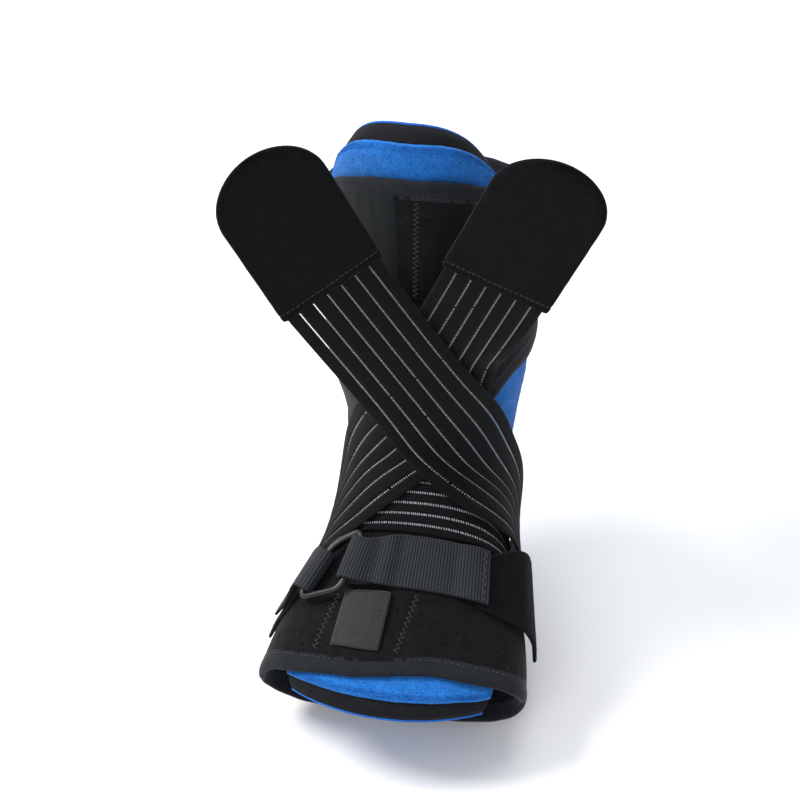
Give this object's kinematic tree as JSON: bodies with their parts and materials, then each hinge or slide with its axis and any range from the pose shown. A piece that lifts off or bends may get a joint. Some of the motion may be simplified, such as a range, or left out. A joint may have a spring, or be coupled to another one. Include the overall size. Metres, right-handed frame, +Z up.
{
  "type": "plantar fasciitis night splint",
  "caption": "Dorsal night splint for a right foot: padded liner, neoprene foot and leg wraps, elastic arms crossed at the ankle with free loop tabs, and a webbing strap through a ring.",
  "frame": {"origin": "centre of the ankle inside the splint, where the leg holds it", "axes": "+Z up the shin, -Y towards the toes, +X towards the big toe's side"},
  "size_m": [0.1674, 0.2243, 0.3163],
  "materials": {
    "liner_inner": "soft blue knitted cloth",
    "foam": "matt open-cell foam",
    "liner_outer": "soft blue knitted cloth",
    "neoprene": "perforated neoprene with a knitted face",
    "binding": "folded elastic tape",
    "elastic": "woven elastic with open ladder stripes",
    "loop_tab": "brushed loop fabric",
    "webbing": "coarse woven webbing",
    "loop_strip": "brushed loop strip",
    "hook_patch": "moulded hook tape",
    "ring_plastic": "glossy moulded plastic"
  },
  "bodies": {
    "root": {"liner_inner_cloth": "liner_inner", "liner_foam": "foam", "liner_outer_cloth": "liner_outer", "foot_wrap": "neoprene", "leg_wrap": "neoprene", "toe_binding": "binding", "leg_lower_binding": "binding", "leg_top_binding": "binding", "instep_band": "elastic", "rear_arm": "elastic", "front_arm": "elastic", "rear_arm_tab": "loop_tab", "front_arm_tab": "loop_tab", "webbing_strap": "webbing", "ring_tab": "webbing", "strap_tail": "loop_strip", "hook_strip": "hook_patch", "ring": "ring_plastic"}
  },
  "joints": []
}
